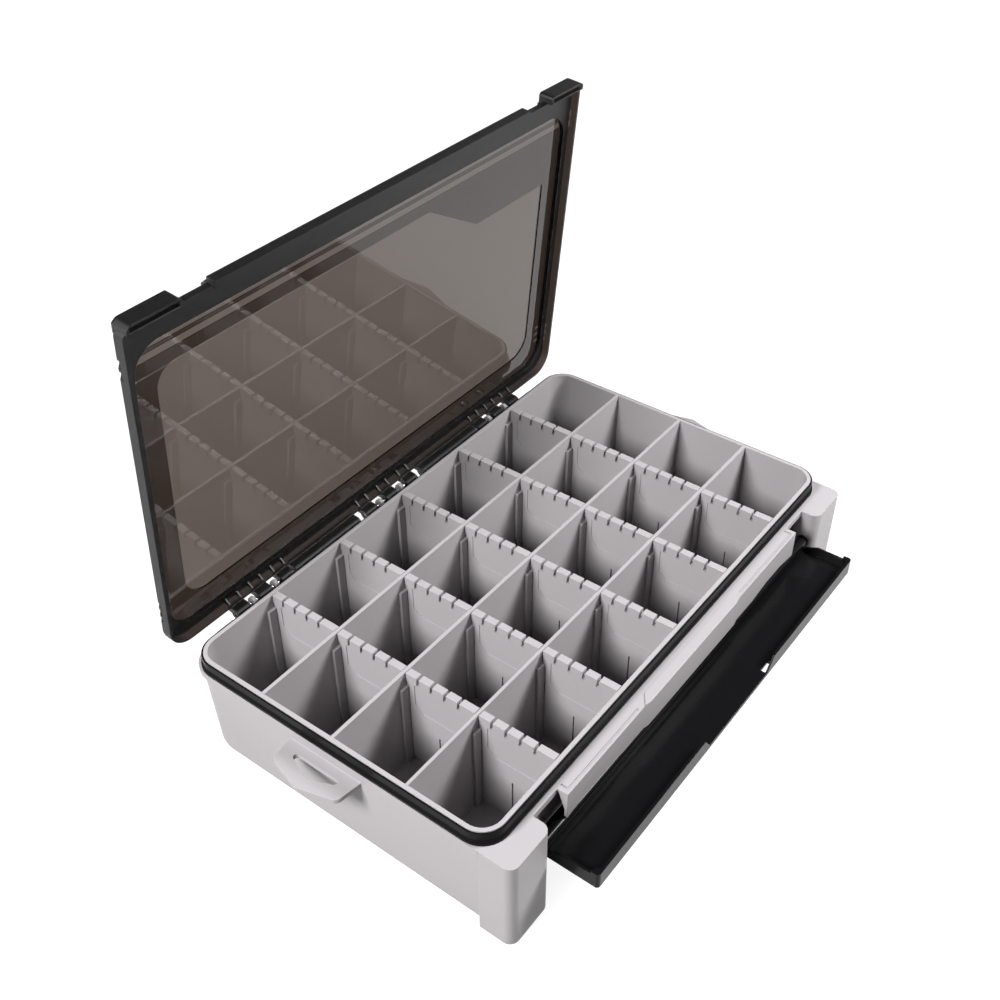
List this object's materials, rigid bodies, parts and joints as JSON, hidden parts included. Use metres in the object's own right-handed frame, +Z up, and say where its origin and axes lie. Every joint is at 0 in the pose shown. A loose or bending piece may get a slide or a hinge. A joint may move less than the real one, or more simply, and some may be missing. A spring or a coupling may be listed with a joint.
{
  "type": "tackle storage box",
  "caption": "Flat waterproof tackle box, open: grey tub with partitions and lift-out dividers, black seal, smoked hinged lid, full-width swing-down latch, lanyard ears.",
  "frame": {"origin": "middle of the tub's footprint, on the surface it stands on", "axes": "+X along the hinge line to the right, +Y from the latch to the hinge, +Z up"},
  "size_m": [0.3808, 0.2576, 0.2743],
  "materials": {
    "grey_plastic": "fine matt, light warm grey",
    "divider_plastic": "smooth satin, light grey",
    "smoked_plastic": "smoke-tinted clear plastic, glossy",
    "black_plastic": "semi-gloss black",
    "seal_rubber": "black rubber",
    "pin_steel": "plain steel pin"
  },
  "bodies": {
    "tub": {"tub": "grey_plastic", "seal_ring": "seal_rubber", "hinge_pin_left": "pin_steel", "hinge_pin_middle": "pin_steel", "hinge_pin_right": "pin_steel"},
    "lid": {"lid": "smoked_plastic"},
    "latch": {"latch": "black_plastic"},
    "divider_r1_c1": {"divider_r1_c1": "divider_plastic"},
    "divider_r1_c2": {"divider_r1_c2": "divider_plastic"},
    "divider_r1_c3": {"divider_r1_c3": "divider_plastic"},
    "divider_r1_c4": {"divider_r1_c4": "divider_plastic"},
    "divider_r2_c1": {"divider_r2_c1": "divider_plastic"},
    "divider_r2_c2": {"divider_r2_c2": "divider_plastic"},
    "divider_r2_c3": {"divider_r2_c3": "divider_plastic"},
    "divider_r2_c4": {"divider_r2_c4": "divider_plastic"},
    "divider_r3_c1": {"divider_r3_c1": "divider_plastic"},
    "divider_r3_c2": {"divider_r3_c2": "divider_plastic"},
    "divider_r3_c3": {"divider_r3_c3": "divider_plastic"},
    "divider_r3_c4": {"divider_r3_c4": "divider_plastic"},
    "divider_r4_c1": {"divider_r4_c1": "divider_plastic"},
    "divider_r4_c2": {"divider_r4_c2": "divider_plastic"},
    "divider_r4_c3": {"divider_r4_c3": "divider_plastic"},
    "divider_r4_c4": {"divider_r4_c4": "divider_plastic"},
    "divider_r5_c1": {"divider_r5_c1": "divider_plastic"},
    "divider_r5_c2": {"divider_r5_c2": "divider_plastic"},
    "divider_r5_c3": {"divider_r5_c3": "divider_plastic"},
    "divider_r5_c4": {"divider_r5_c4": "divider_plastic"}
  },
  "joints": [
    {"name": "lid_hinge", "type": "hinge", "parent": "tub", "child": "lid", "pos_m": [0, 0.1065, 0.0625], "axis": [-1, 0, 0], "range_deg": [-84.4, 15.6]},
    {"name": "latch_swing", "type": "hinge", "parent": "tub", "child": "latch", "pos_m": [0, -0.1061, 0.04], "axis": [1, 0, 0], "range_deg": [-90, 0]},
    {"name": "lift_r1_c1", "type": "slide", "parent": "tub", "child": "divider_r1_c1", "axis": [0, 0, 1], "range_m": [0, 0.075]},
    {"name": "lift_r1_c2", "type": "slide", "parent": "tub", "child": "divider_r1_c2", "axis": [0, 0, 1], "range_m": [0, 0.075]},
    {"name": "lift_r1_c3", "type": "slide", "parent": "tub", "child": "divider_r1_c3", "axis": [0, 0, 1], "range_m": [0, 0.075]},
    {"name": "lift_r1_c4", "type": "slide", "parent": "tub", "child": "divider_r1_c4", "axis": [0, 0, 1], "range_m": [0, 0.075]},
    {"name": "lift_r2_c1", "type": "slide", "parent": "tub", "child": "divider_r2_c1", "axis": [0, 0, 1], "range_m": [0, 0.075]},
    {"name": "lift_r2_c2", "type": "slide", "parent": "tub", "child": "divider_r2_c2", "axis": [0, 0, 1], "range_m": [0, 0.075]},
    {"name": "lift_r2_c3", "type": "slide", "parent": "tub", "child": "divider_r2_c3", "axis": [0, 0, 1], "range_m": [0, 0.075]},
    {"name": "lift_r2_c4", "type": "slide", "parent": "tub", "child": "divider_r2_c4", "axis": [0, 0, 1], "range_m": [0, 0.075]},
    {"name": "lift_r3_c1", "type": "slide", "parent": "tub", "child": "divider_r3_c1", "axis": [0, 0, 1], "range_m": [0, 0.075]},
    {"name": "lift_r3_c2", "type": "slide", "parent": "tub", "child": "divider_r3_c2", "axis": [0, 0, 1], "range_m": [0, 0.075]},
    {"name": "lift_r3_c3", "type": "slide", "parent": "tub", "child": "divider_r3_c3", "axis": [0, 0, 1], "range_m": [0, 0.075]},
    {"name": "lift_r3_c4", "type": "slide", "parent": "tub", "child": "divider_r3_c4", "axis": [0, 0, 1], "range_m": [0, 0.075]},
    {"name": "lift_r4_c1", "type": "slide", "parent": "tub", "child": "divider_r4_c1", "axis": [0, 0, 1], "range_m": [0, 0.075]},
    {"name": "lift_r4_c2", "type": "slide", "parent": "tub", "child": "divider_r4_c2", "axis": [0, 0, 1], "range_m": [0, 0.075]},
    {"name": "lift_r4_c3", "type": "slide", "parent": "tub", "child": "divider_r4_c3", "axis": [0, 0, 1], "range_m": [0, 0.075]},
    {"name": "lift_r4_c4", "type": "slide", "parent": "tub", "child": "divider_r4_c4", "axis": [0, 0, 1], "range_m": [0, 0.075]},
    {"name": "lift_r5_c1", "type": "slide", "parent": "tub", "child": "divider_r5_c1", "axis": [0, 0, 1], "range_m": [0, 0.075]},
    {"name": "lift_r5_c2", "type": "slide", "parent": "tub", "child": "divider_r5_c2", "axis": [0, 0, 1], "range_m": [0, 0.075]},
    {"name": "lift_r5_c3", "type": "slide", "parent": "tub", "child": "divider_r5_c3", "axis": [0, 0, 1], "range_m": [0, 0.075]},
    {"name": "lift_r5_c4", "type": "slide", "parent": "tub", "child": "divider_r5_c4", "axis": [0, 0, 1], "range_m": [0, 0.075]}
  ]
}
